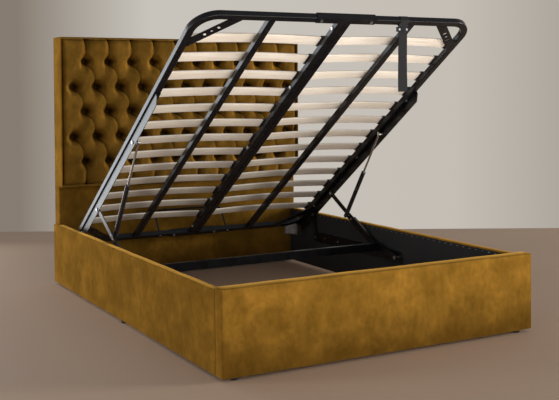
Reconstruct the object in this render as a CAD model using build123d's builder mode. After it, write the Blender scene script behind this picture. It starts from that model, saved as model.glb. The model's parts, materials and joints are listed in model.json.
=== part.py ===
from build123d import *
import math
import os

os.makedirs("parts", exist_ok=True)

# Driving dimensions in millimetres, angles in degrees
# X runs across the bed, Y towards the headboard and Z up, with the origin on the floor
# below the middle of the bed
bed_width = 1440.0
storage_length = 1920.0
floor_gap = 12.0
rail_top_height = 318.0
rail_thickness = 35.0
footboard_thickness = 58.0
footboard_top_height = 330.0
headboard_side_inset = 10.0
headboard_height = 1302.0
headboard_panel_thickness = 70.0
headboard_core_thickness = 45.0
back_cloth_thickness = 2.0
back_cloth_inset = 22.0

# Upholstery layers on the rails
lining_thickness = 1.5
rail_board_thickness = 25.0
footboard_board_thickness = 38.0
cover_side = 8.5
cover_top = 5.0
cover_bottom = 3.0
cover_end = 3.0
cover_return = 6.0
cover_round = 8.0
cover_edge_round = 4.0
glide_radius = 15.0
glide_inset = 60.0

# Tufted upper headboard
tufted_bottom_height = 518.0
border_thickness = 5.0
border_projection = 52.0
border_round = 3.0
pad_projection = 56.0
pad_clearance = 0.3
tuft_relief = 32.0
tuft_side_margin = 64.0
tuft_end_margin = 130.0
tuft_rows = 5
tuft_columns = 10
pillow_size_shares = (0.96, 0.86, 0.55)
pillow_shoulder = 12.0
pillow_root = 2.0
button_radius = 12.0
button_height = 9.0
button_round = 5.0
button_pocket = 1.0
piping_radius = 2.5
piping_corner = 5.0

# Lift deck, which is the slatted bed base
deck_side_clearance = 10.0
tube_width = 30.0
tube_height = 25.0
tube_wall = 1.5
tube_round = 3.0
tube_end_gap = 1.0
deck_corner_radius = 110.0
deck_end_clearance = 10.0
deck_closed_height = 276.0
deck_raised_angle = 34.58
sleeve_length = 286.0
sleeve_plate = 2.0
sleeve_bolt_spacing = 240.0
centre_bolt_margin = 80.0
slat_count_between_bolts = 4
brace_reach = 205.0
brace_width = 42.0
brace_plate = 3.0
brace_slot_length = 18.0
brace_slot_width = 11.0
brace_slot_spacing = 31.0

# Lifting linkage, with setbacks from the headboard's lower face and margins from the deck's
# head edge
arm_raised_angle = 23.77
arm_base_setback = 1091.0
arm_base_height = 185.0
arm_bend_setback = 903.0
arm_bend_height = 228.0
knee_setback = 673.0
knee_height = 348.0
arm_deck_margin = 429.0
arm_deck_drop = 28.7
link_base_height = 183.0
link_deck_margin = 183.5
link_deck_drop = 27.2
strut_deck_margin = 1030.0
strut_deck_drop = 23.0
arm_plate = 4.0
arm_width = 34.0
arm_lip_width = 14.0
arm_lip_stop = 40.0
strap_bar_plate = 4.0
strap_bar_width = 25.0
strap_bar_lap = 45.0
lap_bolt_spacing = 30.0
link_plate = 4.0
link_width = 25.0
strap_bar_play = 1.0
link_play = 1.5
cross_bar_setback = 941.0
cross_bar_centre_height = 219.5
cross_bar_height = 40.0
cross_bar_depth = 20.0
cross_bar_round = 2.0

# Base plates on the rails
base_plate_thickness = 3.0
base_plate_bottom = 158.0
base_plate_top = 213.0
base_plate_overhang = 30.0
base_plate_nose = 20.0
base_screw_shares = (0.13, 0.47, 0.7, 0.86)

# Lift angles under the side tubes
angle_plate = 3.0
angle_depth = 45.0
angle_start_margin = 1379.0
angle_end_margin = 20.0
angle_nose = 28.0
angle_inset = 6.0
angle_bolt_shares = (0.06, 0.45, 0.84)
angle_bolt_gap = 1.0

# Sprung slats and their end caps
slat_count = 13
slat_first_station = 189.0
slat_last_margin = 189.0
slat_width = 55.0
slat_thickness = 8.0
slat_bow = 9.0
slat_lap = 13.0
cap_length = 23.0
cap_width = 61.0
cap_height = 13.5
cap_floor = 2.5
cap_lap = 17.0
cap_play = 0.2

# Gas struts
cylinder_radius = 11.0
cylinder_bore = 9.5
cylinder_length = 298.0
cylinder_base = 24.0
cylinder_guide = 8.0
rod_radius = 5.0
piston_radius = 9.4
piston_length = 8.0
piston_depth = 35.0
strut_eye_radius = 10.0
strut_eye_width = 12.0
strut_inset = 16.0

# Fasteners and running clearances
pivot_radius = 5.0
pivot_head_radius = 9.0
pivot_head_height = 4.5
spacer_radius = 8.0
stud_radius = 4.0
stud_head_radius = 6.5
stud_head_height = 3.5
bolt_head_radius = 6.5
bolt_head_height = 4.0
nut_radius = 8.0
nut_height = 4.0
screw_radius = 3.0
screw_head_radius = 6.0
screw_head_height = 3.0
screw_bite = 22.0
panel_screw_bite = 45.0
running_clearance = 0.05
washer_gap = 0.5
open_pivot_gap = 0.4

# Corner brackets, mattress stop and pull strap
bracket_height = 67.0
bracket_bottom = 165.0
bracket_rail_leg = 85.0
bracket_panel_leg = 40.0
bracket_plate = 3.0
bracket_screw_inset = 17.0
stop_rod_radius = 5.0
stop_spacing = 400.0
stop_height = 155.0
stop_tail = 10.0
stop_bend = 30.0
pull_strap_centre = 288.0
pull_strap_width = 43.0
pull_strap_thickness = 2.5
pull_strap_tail = 285.0
pull_strap_round = 5.0
keeper_width = 60.0
keeper_depth = 20.0
keeper_drop = 8.0
keeper_plate = 1.5
rivet_radius = 5.0
rivet_height = 1.5
rivet_edge = 3.0

# Places along and across the bed
overall_length = (footboard_thickness + storage_length + headboard_panel_thickness
                  + back_cloth_thickness)
front = -overall_length / 2
storage_front = front + footboard_thickness
storage_back = storage_front + storage_length
headboard_back = storage_back + headboard_panel_thickness
core_front = headboard_back - headboard_core_thickness
rail_outer = bed_width / 2
rail_inner = rail_outer - rail_thickness
headboard_side = rail_outer - headboard_side_inset
core_side = headboard_side - border_thickness
deck_side = rail_inner - deck_side_clearance
deck_length = storage_length - 2 * deck_end_clearance
plate_inner = rail_inner - base_plate_thickness
link_inner = deck_side + link_play
link_outer = link_inner + link_plate
angle_side = deck_side - angle_inset
angle_inner = angle_side - angle_plate
strap_outer = angle_inner - strap_bar_play
strap_inner = strap_outer - strap_bar_plate
arm_outer = strap_inner
arm_inner = arm_outer - arm_plate
strut_side = arm_inner - strut_inset

# The raised deck, worked out from its closed place and the reach of the lift arms
tilt = math.radians(deck_raised_angle)
arm_slope = math.radians(arm_raised_angle)
closed_foot = storage_front + deck_end_clearance
arm_deck_station = deck_length - arm_deck_margin
link_deck_station = deck_length - link_deck_margin
strut_deck_station = deck_length - strut_deck_margin
arm_base = (storage_back - arm_base_setback, arm_base_height)
arm_top_closed = (closed_foot + arm_deck_station, deck_closed_height - arm_deck_drop)
arm_reach = math.dist(arm_base, arm_top_closed)
arm_top = (arm_base[0] + arm_reach * math.cos(arm_slope),
           arm_base[1] + arm_reach * math.sin(arm_slope))
deck_foot = (arm_top[0] - arm_deck_station * math.cos(tilt) + arm_deck_drop * math.sin(tilt),
             arm_top[1] + arm_deck_station * math.sin(tilt) + arm_deck_drop * math.cos(tilt))


def deck_point(station, height=0.0):
    """Y and Z of a point on the raised deck, from its foot edge and its underside."""
    return (deck_foot[0] + station * math.cos(tilt) + height * math.sin(tilt),
            deck_foot[1] - station * math.sin(tilt) + height * math.cos(tilt))


def along(start, end, distance):
    """The point that lies a distance from start on the line to end, past it if longer."""
    share = distance / math.dist(start, end)
    return tuple(a + share * (b - a) for a, b in zip(start, end))


arm_bend = (storage_back - arm_bend_setback, arm_bend_height)
knee = (storage_back - knee_setback, knee_height)
lap_bolt = along(arm_top, knee, math.dist(arm_top, knee) + lap_bolt_spacing)
lap_end = along(arm_top, knee, math.dist(arm_top, knee) + strap_bar_lap)
cross_bar = (storage_back - cross_bar_setback, cross_bar_centre_height)
strut_top = deck_point(strut_deck_station, -strut_deck_drop)
strut_length = math.dist(knee, strut_top)

# The link's base pivot is as far from its deck pivot raised as closed
link_top = deck_point(link_deck_station, -link_deck_drop)
link_top_closed = (closed_foot + link_deck_station, deck_closed_height - link_deck_drop)
chord = (link_top_closed[0] - link_top[0], link_top_closed[1] - link_top[1])
chord_middle = ((link_top[0] + link_top_closed[0]) / 2, (link_top[1] + link_top_closed[1]) / 2)
chord_share = (link_base_height - chord_middle[1]) / chord[0]
link_base = (chord_middle[0] - chord_share * chord[1], link_base_height)

# The deck's own plane, with Y along it towards the headboard and Z out of its top
deck_plane = Plane(
    origin=(0, deck_foot[0], deck_foot[1]),
    x_dir=(1, 0, 0),
    z_dir=(0, math.sin(tilt), math.cos(tilt)),
)


def deck_section(station):
    """A plane across the deck that faces its foot, with X across and Y up from the underside."""
    y, z = deck_point(station)
    return Plane(origin=(0, y, z), x_dir=(1, 0, 0), z_dir=-deck_plane.y_dir)


def deck_side_plane(x):
    """A plane along the deck that faces +X, with X as the station and Y as the height."""
    return Plane(origin=(x, deck_foot[0], deck_foot[1]), x_dir=deck_plane.y_dir, z_dir=(1, 0, 0))


def save(piece, name):
    piece.part.label = name
    export_step(piece.part, f"parts/{name}.step")


def save_both_sides(piece, name):
    """Write a right-hand piece and its mirror image as two nodes."""
    with BuildPart() as twin:
        mirror(piece.part, about=Plane.YZ)
    save(piece, f"{name}_right")
    save(twin, f"{name}_left")


def save_pair(piece, name):
    """Write a right-hand piece and its mirror image as one node."""
    with BuildPart() as pair:
        add(piece.part)
        mirror(piece.part, about=Plane.YZ)
    save(pair, name)


def block(low, high, mode=Mode.ADD):
    with Locations(Vector(*low)):
        Box(*(b - a for a, b in zip(low, high)), align=(Align.MIN, Align.MIN, Align.MIN), mode=mode)


def peg(x, place, radius, length, mode=Mode.ADD):
    """A round peg along X that starts at x, with place as its Y and Z."""
    with BuildSketch(Plane.YZ.offset(x)) as outline:
        with Locations(place):
            Circle(radius)
    extrude(outline.sketch, amount=length, mode=mode)


def screw(plane, bite):
    """A screw whose head stands out of the plane and whose shank goes in behind it."""
    with BuildSketch(plane) as head:
        Circle(screw_head_radius)
    extrude(head.sketch, amount=screw_head_height)
    with BuildSketch(plane) as shank:
        Circle(screw_radius)
    extrude(shank.sketch, amount=-bite)


def bar(start, end, width):
    """A flat bar's outline with round ends about two points of a sketch."""
    middle = ((start[0] + end[0]) / 2, (start[1] + end[1]) / 2)
    angle = math.degrees(math.atan2(end[1] - start[1], end[0] - start[0]))
    with Locations(Location((middle[0], middle[1], 0), (0, 0, angle))):
        SlotCenterToCenter(math.dist(start, end), width)


def strip(start, end, inner, outer):
    """A strip beside the line from start to end, between two distances above it."""
    angle = math.atan2(end[1] - start[1], end[0] - start[0])
    offset = (inner + outer) / 2
    middle = ((start[0] + end[0]) / 2 - offset * math.sin(angle),
              (start[1] + end[1]) / 2 + offset * math.cos(angle))
    with Locations(Location((middle[0], middle[1], 0), (0, 0, math.degrees(angle)))):
        Rectangle(math.dist(start, end), outer - inner)


# Side rails: a board, its velvet cover and the black lining on the storage side
board_inner = rail_inner + lining_thickness
board_outer = board_inner + rail_board_thickness
board_bottom = floor_gap + cover_bottom
rail_board_low = (board_inner, storage_front + cover_end, board_bottom)
rail_board_high = (board_outer, storage_back, rail_top_height - cover_top)
rail_lining_top = rail_top_height - cover_return

with BuildPart() as side_rail_board:
    block(rail_board_low, rail_board_high)
save_both_sides(side_rail_board, "side_rail_board")

with BuildPart() as side_rail_cover:
    block((rail_inner, storage_front, floor_gap), (rail_outer, storage_back, rail_top_height))
    rail_edges = side_rail_cover.edges().filter_by(Axis.Y)
    outer_edges = rail_edges.group_by(Axis.X)[-1]
    fillet(outer_edges.sort_by(Axis.Z)[-1], cover_round)
    rail_edges = side_rail_cover.edges().filter_by(Axis.Y)
    fillet(rail_edges.group_by(Axis.X)[0].sort_by(Axis.Z)[-1], cover_edge_round)
    block(rail_board_low, rail_board_high, mode=Mode.SUBTRACT)
    block((rail_inner, storage_front, floor_gap), (board_inner, storage_back, rail_lining_top),
          mode=Mode.SUBTRACT)
save_both_sides(side_rail_cover, "side_rail_cover")

with BuildPart() as side_rail_lining:
    block((rail_inner, storage_front, floor_gap), (board_inner, storage_back, rail_lining_top))
save_both_sides(side_rail_lining, "side_rail_lining")

# Footboard, built up the same way on a thicker board
foot_board_low = (-rail_outer + cover_side,
                  storage_front - lining_thickness - footboard_board_thickness, board_bottom)
foot_board_high = (rail_outer - cover_side, storage_front - lining_thickness,
                   footboard_top_height - cover_top)
foot_lining_low = (-rail_inner, storage_front - lining_thickness, floor_gap)
foot_lining_high = (rail_inner, storage_front, footboard_top_height - cover_return)

with BuildPart() as footboard_board:
    block(foot_board_low, foot_board_high)
save(footboard_board, "footboard_board")

with BuildPart() as footboard_cover:
    block((-rail_outer, front, floor_gap), (rail_outer, storage_front, footboard_top_height))
    fillet(footboard_cover.edges().filter_by(Axis.Z).group_by(Axis.Y)[0], cover_round)
    top_edges = footboard_cover.faces().sort_by(Axis.Z)[-1].edges()
    fillet(top_edges, cover_edge_round)
    block(foot_board_low, foot_board_high, mode=Mode.SUBTRACT)
    block(foot_lining_low, foot_lining_high, mode=Mode.SUBTRACT)
save(footboard_cover, "footboard_cover")

with BuildPart() as footboard_lining:
    block(foot_lining_low, foot_lining_high)
save(footboard_lining, "footboard_lining")

# Headboard: a full-height core, a padded lower cover, a border round the tufted pad
core_low = (-core_side, core_front, board_bottom)
core_high = (core_side, headboard_back, headboard_height - border_thickness)
border_front = storage_back - border_projection
pad_low = (-core_side + pad_clearance, tufted_bottom_height + border_thickness + pad_clearance)
pad_high = (core_side - pad_clearance, headboard_height - border_thickness - pad_clearance)
pad_front = storage_back - pad_projection
tuft_floor = pad_front + tuft_relief
tuft_middle = (tufted_bottom_height + headboard_height) / 2
tuft_pitch_across = 2 * (core_side - tuft_side_margin) / tuft_columns
tuft_span = headboard_height - tufted_bottom_height - 2 * tuft_end_margin
tuft_pitch_up = tuft_span / (tuft_rows - 1)

with BuildPart() as headboard_core:
    block(core_low, core_high)
save(headboard_core, "headboard_core")

with BuildPart() as headboard_lower_cover:
    block((-headboard_side, storage_back, floor_gap),
          (headboard_side, headboard_back, tufted_bottom_height))
    fillet(headboard_lower_cover.edges().filter_by(Axis.Z).group_by(Axis.Y)[0], cover_edge_round)
    block(core_low, core_high, mode=Mode.SUBTRACT)
save(headboard_lower_cover, "headboard_lower_cover")

with BuildPart() as headboard_border:
    block((-headboard_side, border_front, tufted_bottom_height),
          (headboard_side, headboard_back, headboard_height))
    fillet(headboard_border.faces().sort_by(Axis.Y)[0].edges(), border_round)
    block((-core_side, border_front, tufted_bottom_height + border_thickness),
          (core_side, headboard_back, headboard_height - border_thickness), mode=Mode.SUBTRACT)
    block(core_low, core_high, mode=Mode.SUBTRACT)
save(headboard_border, "headboard_border")

with BuildPart() as headboard_back_cloth:
    block((-headboard_side + back_cloth_inset, headboard_back, floor_gap + back_cloth_inset),
          (headboard_side - back_cloth_inset, headboard_back + back_cloth_thickness,
           headboard_height - back_cloth_inset))
save(headboard_back_cloth, "headboard_back_cloth")


def button_row(row):
    """X and Z of a row's buttons: every other row holds one more and is set half a pitch out."""
    count = tuft_columns + row % 2
    z = tuft_middle + (row - (tuft_rows - 1) / 2) * tuft_pitch_up
    return [((column - (count - 1) / 2) * tuft_pitch_across, z) for column in range(count)]


def tuft_outlines():
    """The outline of each pillow between the buttons, as points in X and Z."""
    rows = [button_row(row) for row in range(tuft_rows)]
    outlines = []
    for row in range(1, tuft_rows - 1):
        for left, right in zip(rows[row], rows[row][1:]):
            middle = (left[0] + right[0]) / 2
            outlines.append([left, (middle, rows[row - 1][0][1]), right, (middle, rows[row + 1][0][1])])
    for row, inner_row, edge in ((0, 1, pad_low[1]), (tuft_rows - 1, tuft_rows - 2, pad_high[1])):
        for left, right in zip(rows[row], rows[row][1:]):
            middle = ((left[0] + right[0]) / 2, rows[inner_row][0][1])
            outlines.append([left, middle, right, (right[0], edge), (left[0], edge)])
        for end, side in ((0, pad_low[0]), (-1, pad_high[0])):
            corner = rows[row][end]
            neighbour = rows[inner_row][end]
            outlines.append([corner, neighbour, (side, neighbour[1]), (side, edge), (corner[0], edge)])
    for row in range(2, tuft_rows - 2, 2):
        for end, side in ((0, pad_low[0]), (-1, pad_high[0])):
            below, above = rows[row - 1][end], rows[row + 1][end]
            outlines.append([below, rows[row][end], above, (side, above[1]), (side, below[1])])
    return outlines


def pillow_section(outline, size_share, y):
    middle = [sum(axis) / len(outline) for axis in zip(*outline)]
    points = [tuple(m + size_share * (p - m) for p, m in zip(point, middle)) for point in outline]
    with BuildSketch(Plane.XZ.offset(-y)) as section:
        Polygon(*points, align=None)
    return section.sketch


buttons = [point for row in range(tuft_rows) for point in button_row(row)]
pillow_depths = (tuft_floor + pillow_root, pad_front + pillow_shoulder, pad_front)
with BuildPart() as headboard_pad:
    block((pad_low[0], tuft_floor, pad_low[1]), (pad_high[0], core_front, pad_high[1]))
    pillows = []
    for outline in tuft_outlines():
        sections = [pillow_section(outline, size_share, depth)
                    for size_share, depth in zip(pillow_size_shares, pillow_depths)]
        pillows.append(loft(sections, ruled=True, mode=Mode.PRIVATE))
    add(pillows)
    with BuildSketch(Plane.XZ.offset(-tuft_floor)):
        with Locations(*buttons):
            Circle(button_radius + button_pocket)
    extrude(amount=tuft_relief, mode=Mode.SUBTRACT)
save(headboard_pad, "headboard_pad")

with BuildPart() as headboard_buttons:
    with BuildSketch(Plane.XZ.offset(-tuft_floor)):
        with Locations(*buttons):
            Circle(button_radius)
    extrude(amount=button_height)
    crown_edges = headboard_buttons.faces().filter_by(Axis.Y).group_by(Axis.Y)[0].edges()
    fillet(crown_edges, button_round)
save(headboard_buttons, "headboard_buttons")

piping_side = headboard_side - border_thickness / 2
piping_low = tufted_bottom_height + border_thickness / 2
piping_high = headboard_height - border_thickness / 2
piping_y = border_front - piping_radius
with BuildPart() as headboard_piping:
    with BuildSketch(Plane.XZ.offset(-piping_y)) as piping_ring:
        with Locations((0, tuft_middle)):
            RectangleRounded(2 * piping_side, piping_high - piping_low, piping_corner)
    piping_path = piping_ring.sketch.faces()[0].outer_wire()
    with BuildSketch(Plane(origin=piping_path @ 0, z_dir=piping_path % 0)) as piping_profile:
        Circle(piping_radius)
    sweep(piping_profile.sketch, path=piping_path, mode=Mode.REPLACE)
save(headboard_piping, "headboard_piping")

# Glides on the floor, under the board ends
glide_places = [
    (rail_outer - glide_inset, front + footboard_thickness / 2),
    ((rail_inner + rail_outer) / 2, 0),
    (headboard_side - glide_inset, storage_back + headboard_panel_thickness / 2),
]
with BuildPart() as glide_half:
    with BuildSketch(Plane.XY):
        with Locations(*glide_places):
            Circle(glide_radius)
    extrude(amount=floor_gap)
save_pair(glide_half, "floor_glides")

# Corner brackets inside the box, with a leg on the rail and a leg on the end panel
bracket_top = bracket_bottom + bracket_height
bracket_middle = bracket_bottom + bracket_height / 2
bracket_face = rail_inner - bracket_plate
bracket_ends = (
    (storage_front, storage_front + bracket_rail_leg, storage_front + bracket_plate, screw_bite),
    (storage_back, storage_back - bracket_rail_leg, storage_back - bracket_plate, panel_screw_bite),
)
rail_leg_screws = (bracket_screw_inset, bracket_rail_leg - bracket_screw_inset)
with BuildPart() as brackets:
    for corner, leg_end, panel_face, bite in bracket_ends:
        low, high = sorted((corner, leg_end))
        block((bracket_face, low, bracket_bottom), (rail_inner, high, bracket_top))
        low, high = sorted((corner, panel_face))
        block((rail_inner - bracket_panel_leg, low, bracket_bottom), (rail_inner, high, bracket_top))
with BuildPart() as bracket_screws:
    for corner, leg_end, panel_face, bite in bracket_ends:
        inward = math.copysign(1, leg_end - corner)
        for distance in rail_leg_screws:
            place = (bracket_face, corner + inward * distance, bracket_middle)
            screw(Plane(origin=place, z_dir=(-1, 0, 0)), screw_bite)
        place = (rail_inner - bracket_panel_leg + bracket_screw_inset, panel_face, bracket_middle)
        screw(Plane(origin=place, z_dir=(0, inward, 0)), bite)
with BuildPart() as bracket_holed:
    add(brackets.part)
    add(bracket_screws.part, mode=Mode.SUBTRACT)
save_pair(bracket_holed, "corner_brackets")
save_pair(bracket_screws, "corner_bracket_screws")

# Base plates that carry the arms and links, screwed to the rails over the lining
base_plate_foot = arm_base[0] - base_plate_overhang
base_plate_head = link_base[0] + base_plate_overhang
base_plate_length = base_plate_head - base_plate_foot
base_plate_middle = (base_plate_bottom + base_plate_top) / 2
with BuildPart() as base_plate_screws:
    for share in base_screw_shares:
        place = (plate_inner, base_plate_foot + share * base_plate_length, base_plate_middle)
        screw(Plane(origin=place, z_dir=(-1, 0, 0)), screw_bite)
save_pair(base_plate_screws, "base_plate_screws")

with BuildPart() as base_plate:
    block((plate_inner, base_plate_foot, base_plate_bottom),
          (rail_inner, base_plate_head, base_plate_top))
    plate_ends = base_plate.edges().filter_by(Axis.X).group_by(Axis.Z)[-1]
    chamfer(plate_ends, base_plate_nose)
    add(base_plate_screws.part, mode=Mode.SUBTRACT)
    peg(plate_inner, arm_base, pivot_radius, base_plate_thickness, mode=Mode.SUBTRACT)
    peg(plate_inner, link_base, stud_radius, base_plate_thickness, mode=Mode.SUBTRACT)
save_both_sides(base_plate, "base_plate")

arm_head_face = arm_inner - washer_gap
link_head_face = link_inner - washer_gap
with BuildPart() as base_pivot_bolts:
    peg(arm_head_face, arm_base, pivot_radius, rail_inner - arm_head_face)
    peg(arm_head_face, arm_base, pivot_head_radius, -pivot_head_height)
    peg(arm_outer + washer_gap, arm_base, spacer_radius, plate_inner - arm_outer - washer_gap)
    peg(link_head_face, link_base, stud_radius, rail_inner - link_head_face)
    peg(link_head_face, link_base, stud_head_radius, -stud_head_height)
    peg(link_outer + washer_gap, link_base, stud_head_radius, plate_inner - link_outer - washer_gap)
save_pair(base_pivot_bolts, "base_pivot_bolts")

# Lift arms: a lipped lower arm and an upper strap lapped on to it at the knee
pivot_hole = pivot_radius + running_clearance
lip_line = along(knee, arm_bend, arm_lip_stop)
with BuildPart() as lift_arm:
    with BuildSketch(Plane.YZ.offset(arm_inner)):
        bar(arm_base, arm_bend, arm_width)
        bar(arm_bend, knee, arm_width)
    extrude(amount=arm_plate)
    with BuildSketch(Plane.YZ.offset(arm_inner)):
        strip(arm_base, arm_bend, arm_width / 2 - arm_plate, arm_width / 2)
        strip(arm_bend, lip_line, arm_width / 2 - arm_plate, arm_width / 2)
    extrude(amount=arm_lip_width)
    peg(arm_inner, arm_base, pivot_hole, arm_plate, mode=Mode.SUBTRACT)
    peg(arm_inner, knee, stud_radius, arm_plate, mode=Mode.SUBTRACT)
    peg(arm_inner, lap_bolt, stud_radius, arm_plate, mode=Mode.SUBTRACT)
    peg(arm_inner, cross_bar, stud_radius, arm_plate, mode=Mode.SUBTRACT)
save_both_sides(lift_arm, "lift_arm")

with BuildPart() as arm_strap:
    with BuildSketch(Plane.YZ.offset(strap_inner)):
        bar(arm_top, lap_end, strap_bar_width)
    extrude(amount=strap_bar_plate)
    peg(strap_inner, arm_top, pivot_hole, strap_bar_plate, mode=Mode.SUBTRACT)
    peg(strap_inner, knee, stud_radius, strap_bar_plate, mode=Mode.SUBTRACT)
    peg(strap_inner, lap_bolt, stud_radius, strap_bar_plate, mode=Mode.SUBTRACT)
save_both_sides(arm_strap, "arm_strap")

bar_low = (-arm_inner, cross_bar[0] - cross_bar_depth / 2, cross_bar[1] - cross_bar_height / 2)
bar_high = (arm_inner, cross_bar[0] + cross_bar_depth / 2, cross_bar[1] + cross_bar_height / 2)
with BuildPart() as cross_bar_tube:
    block(bar_low, bar_high)
    fillet(cross_bar_tube.edges().filter_by(Axis.X), cross_bar_round)
    block((bar_low[0] + tube_wall, bar_low[1] + tube_wall, bar_low[2] + tube_wall),
          (bar_high[0] - tube_wall, bar_high[1] - tube_wall, bar_high[2] - tube_wall),
          mode=Mode.SUBTRACT)
    for side in (-arm_inner, arm_inner - tube_wall):
        peg(side, cross_bar, stud_radius, tube_wall, mode=Mode.SUBTRACT)
save(cross_bar_tube, "cross_bar")

# The stud at the knee also carries the strut, on a collar that keeps it off the arm
strut_eye_outer = strut_side + strut_eye_width / 2
strut_eye_inner = strut_side - strut_eye_width / 2
stud_start = strut_eye_inner - washer_gap
with BuildPart() as arm_bolts:
    peg(stud_start, knee, stud_radius, strap_outer - stud_start)
    peg(stud_start, knee, stud_head_radius, -stud_head_height)
    peg(strut_eye_outer + washer_gap, knee, stud_head_radius,
        arm_inner - strut_eye_outer - washer_gap)
    peg(arm_inner, lap_bolt, stud_radius, strap_outer - arm_inner)
    peg(arm_inner, lap_bolt, bolt_head_radius, -bolt_head_height)
    peg(arm_inner - tube_wall, cross_bar, stud_radius, arm_plate + tube_wall)
    peg(arm_outer, cross_bar, bolt_head_radius, bolt_head_height)
save_pair(arm_bolts, "arm_bolts")

# Rear links, held by the base pivot, with the deck end beside its bolt
with BuildPart() as rear_link:
    with BuildSketch(Plane.YZ.offset(link_inner)):
        bar(link_base, link_top, link_width)
    extrude(amount=link_plate)
    peg(link_inner, link_base, stud_radius + running_clearance, link_plate, mode=Mode.SUBTRACT)
    peg(link_inner, link_top, stud_radius, link_plate, mode=Mode.SUBTRACT)
save_both_sides(rear_link, "rear_link")

with BuildPart() as link_bolt:
    bolt_start = angle_side + open_pivot_gap
    peg(bolt_start, link_top, stud_radius, link_outer - bolt_start)
    peg(link_outer, link_top, stud_head_radius, stud_head_height)
save_both_sides(link_bolt, "rear_link_bolt")

# Tubes of the two half decks
half_tube = tube_width / 2
tube_middle = tube_height / 2
centre_tube_side = tube_end_gap / 2 + half_tube
mid_tube_side = (deck_side + tube_end_gap / 2) / 2
head_station = deck_length - half_tube
stop_side = stop_spacing / 2
sleeve_bolt_side = sleeve_bolt_spacing / 2
deck_bolts = [(sleeve_bolt_side, half_tube), (sleeve_bolt_side, head_station)]
slat_pitch = (deck_length - slat_last_margin - slat_first_station) / (slat_count - 1)
centre_bolts = [centre_bolt_margin, deck_length - centre_bolt_margin]
first_bolt_row = slat_count_between_bolts // 2
for row in range(first_bolt_row, slat_count - 1, slat_count_between_bolts):
    centre_bolts.append(slat_first_station + slat_pitch * (row + 1 / 2))


def tube_section():
    RectangleRounded(tube_width, tube_height, tube_round)
    Rectangle(tube_width - 2 * tube_wall, tube_height - 2 * tube_wall, mode=Mode.SUBTRACT)


def deck_holes(places, radius):
    """Holes square through the deck's tubes, with places in X and station."""
    with BuildSketch(deck_plane.offset(-sleeve_plate)) as holes:
        with Locations(*places):
            Circle(radius)
    extrude(holes.sketch, amount=tube_height + 2 * sleeve_plate, mode=Mode.SUBTRACT)


with BuildPart() as outer_tube:
    with BuildLine(deck_plane.offset(tube_middle)) as outer_path:
        FilletPolyline(
            (tube_end_gap / 2, half_tube),
            (deck_side - half_tube, half_tube),
            (deck_side - half_tube, head_station),
            (tube_end_gap / 2, head_station),
            radius=deck_corner_radius - half_tube,
        )
    path_start = outer_path.line @ 0
    with BuildSketch(Plane(origin=path_start, x_dir=deck_plane.y_dir, z_dir=(1, 0, 0))):
        tube_section()
    sweep(path=outer_path.line)
    deck_holes(deck_bolts, stud_radius)
    deck_holes([(stop_side, head_station)], stop_rod_radius)
save_both_sides(outer_tube, "outer_tube")

for name, side in (("centre_tube", centre_tube_side), ("mid_tube", mid_tube_side)):
    with BuildPart() as straight_tube:
        with BuildSketch(deck_section(deck_length - tube_width)):
            with Locations((side, tube_middle)):
                tube_section()
        extrude(amount=deck_length - 2 * tube_width)
        if name == "centre_tube":
            with BuildSketch(deck_side_plane(side - half_tube)):
                with Locations(*[(station, tube_middle) for station in centre_bolts]):
                    Circle(stud_radius)
            extrude(amount=tube_width, mode=Mode.SUBTRACT)
    save_both_sides(straight_tube, name)

# Joining sleeves round the outer tubes' ends, open on the side where the centre tubes meet
with BuildPart() as sleeves:
    with BuildSketch(deck_plane.offset(-sleeve_plate)):
        with Locations((0, (tube_width - sleeve_plate) / 2),
                       (0, deck_length - (tube_width - sleeve_plate) / 2)):
            Rectangle(sleeve_length, tube_width + sleeve_plate)
    extrude(amount=tube_height + 2 * sleeve_plate)
    with BuildSketch(deck_plane):
        with Locations((0, deck_length / 2)):
            Rectangle(sleeve_length, deck_length)
    extrude(amount=tube_height, mode=Mode.SUBTRACT)
    deck_holes(deck_bolts + [(-side, station) for side, station in deck_bolts], stud_radius)
save(sleeves, "joining_sleeves")

with BuildPart() as deck_bolt_half:
    with BuildSketch(deck_plane.offset(-sleeve_plate)):
        with Locations(*deck_bolts):
            Circle(stud_radius)
    extrude(amount=tube_height + 2 * sleeve_plate)
    with BuildSketch(deck_plane.offset(-sleeve_plate)):
        with Locations(*deck_bolts):
            Circle(bolt_head_radius)
    extrude(amount=-bolt_head_height)
    with BuildSketch(deck_plane.offset(tube_height + sleeve_plate)):
        with Locations(*deck_bolts):
            RegularPolygon(nut_radius, 6)
    extrude(amount=nut_height)
save_pair(deck_bolt_half, "sleeve_bolts")

with BuildPart() as centre_bolt_group:
    centre_outer = centre_tube_side + half_tube
    bolt_places = [(station, tube_middle) for station in centre_bolts]
    with BuildSketch(deck_side_plane(-centre_outer)):
        with Locations(*bolt_places):
            Circle(stud_radius)
    extrude(amount=2 * centre_outer)
    with BuildSketch(deck_side_plane(centre_outer)):
        with Locations(*bolt_places):
            Circle(bolt_head_radius)
    extrude(amount=bolt_head_height)
    with BuildSketch(deck_side_plane(-centre_outer)):
        with Locations(*bolt_places):
            RegularPolygon(nut_radius, 6)
    extrude(amount=-nut_height)
save(centre_bolt_group, "centre_bolts")

# Flat braces across the deck's corners, each with a slot on either side of a hole
brace_slot_angle = 45
brace_near = brace_reach - brace_width / math.sqrt(2)
brace_far = brace_reach + brace_width / math.sqrt(2)
brace_step = brace_slot_spacing / math.sqrt(2)


def deck_corner(across, inward, at_head):
    """X and station of a point given from the outer edges of a right-hand corner."""
    return (deck_side - across, deck_length - inward if at_head else inward)


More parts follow.
